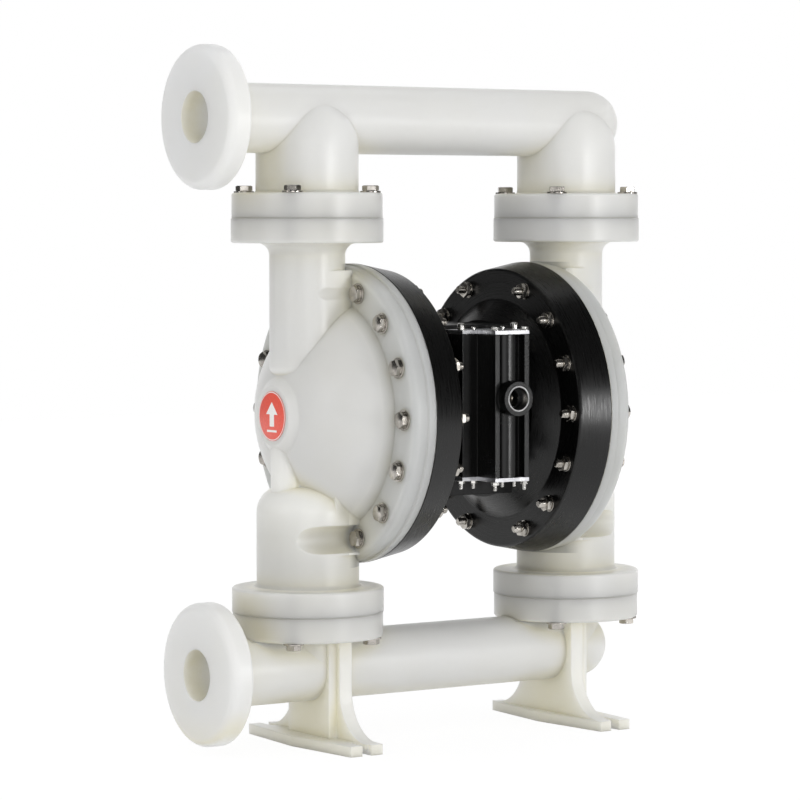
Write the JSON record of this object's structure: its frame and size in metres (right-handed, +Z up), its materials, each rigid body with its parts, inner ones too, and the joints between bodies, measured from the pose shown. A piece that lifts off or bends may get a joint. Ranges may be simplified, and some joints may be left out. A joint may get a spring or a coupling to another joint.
{
  "type": "air operated double diaphragm pump",
  "caption": "Plastic air operated double diaphragm pump with flanged inlet and outlet at one end, domed chambers either side of an air valve, and slotted feet",
  "frame": {"origin": "On the floor, midway between the two chambers, in the plane that holds both manifold tubes and the chamber axis", "axes": "+Z up; -X is the way both pipe flanges face; -Y is the side of the air valve block; the diaphragm rod lies along X"},
  "size_m": [0.6115, 0.3653, 0.8102],
  "materials": {
    "natural_plastic": "satin, slightly translucent",
    "black_plastic": "satin",
    "dark_moulding": "satin",
    "cover_plate": "dark coated",
    "stainless": "bright",
    "inlet_thread": "machined",
    "white_polymer": "smooth",
    "aluminium": "machined",
    "bushing_plastic": "smooth",
    "seal_rubber": "matte",
    "coral_disc": "printed film"
  },
  "bodies": {
    "housing": {"air_inlet_ring": "inlet_thread", "cap_label": "coral_disc", "centre_body": "black_plastic", "exhaust_cover": "black_plastic", "exhaust_screws": "stainless", "inlet_manifold": "natural_plastic", "inlet_seat_left": "white_polymer", "inlet_seat_right": "white_polymer", "left_air_cap": "black_plastic", "left_cap_bolts": "stainless", "left_cap_nuts": "stainless", "left_fluid_cap": "natural_plastic", "left_pilot_bushing": "bushing_plastic", "left_rod_bushing": "bushing_plastic", "left_rod_seal": "seal_rubber", "lower_manifold_bolts": "stainless", "muffler": "dark_moulding", "outlet_manifold": "natural_plastic", "outlet_seat_left": "white_polymer", "outlet_seat_right": "white_polymer", "right_air_cap": "black_plastic", "right_cap_bolts": "stainless", "right_cap_nuts": "stainless", "right_fluid_cap": "natural_plastic", "right_pilot_bushing": "bushing_plastic", "right_rod_bushing": "bushing_plastic", "right_rod_seal": "seal_rubber", "seat_rings": "white_polymer", "upper_manifold_bolts": "stainless", "valve_block": "dark_moulding", "valve_bottom_cover": "cover_plate", "valve_bottom_screws": "stainless", "valve_gasket": "seal_rubber", "valve_plate": "bushing_plastic", "valve_sleeve": "stainless", "valve_top_cover": "cover_plate", "valve_top_screws": "stainless"},
    "shaft": {"diaphragm_rod": "stainless", "left_inner_washer": "aluminium", "right_inner_washer": "aluminium", "left_outer_washer": "white_polymer", "right_outer_washer": "white_polymer", "left_diaphragm_screw": "stainless", "right_diaphragm_screw": "stainless", "left_diaphragm": "white_polymer", "right_diaphragm": "white_polymer"},
    "pilot": {"pilot_rod": "stainless"},
    "spool": {"main_spool": "stainless", "spool_seals": "seal_rubber", "valve_slide": "bushing_plastic"},
    "inlet_ball_l": {"inlet_ball_left": "white_polymer"},
    "inlet_ball_r": {"inlet_ball_right": "white_polymer"},
    "outlet_ball_l": {"outlet_ball_left": "white_polymer"},
    "outlet_ball_r": {"outlet_ball_right": "white_polymer"}
  },
  "joints": [
    {"name": "rod_slide", "type": "slide", "parent": "housing", "child": "shaft", "axis": [1, 0, 0], "range_m": [-0.028, 0.028], "deforming": ["left_diaphragm", "right_diaphragm"]},
    {"name": "pilot_slide", "type": "slide", "parent": "housing", "child": "pilot", "axis": [1, 0, 0], "range_m": [-0.004, 0.004]},
    {"name": "spool_slide", "type": "slide", "parent": "housing", "child": "spool", "axis": [0, 0, 1], "range_m": [0, 0.016]},
    {"name": "inlet_ball_left_lift", "type": "slide", "parent": "housing", "child": "inlet_ball_l", "axis": [0, 0, 1], "range_m": [0, 0.018]},
    {"name": "inlet_ball_right_lift", "type": "slide", "parent": "housing", "child": "inlet_ball_r", "axis": [0, 0, 1], "range_m": [0, 0.018]},
    {"name": "outlet_ball_left_lift", "type": "slide", "parent": "housing", "child": "outlet_ball_l", "axis": [0, 0, 1], "range_m": [0, 0.018]},
    {"name": "outlet_ball_right_lift", "type": "slide", "parent": "housing", "child": "outlet_ball_r", "axis": [0, 0, 1], "range_m": [0, 0.018]}
  ],
  "couplings": [
    {"joint": "pilot_slide", "follows": "rod_slide", "ratio": 0.1428}
  ]
}
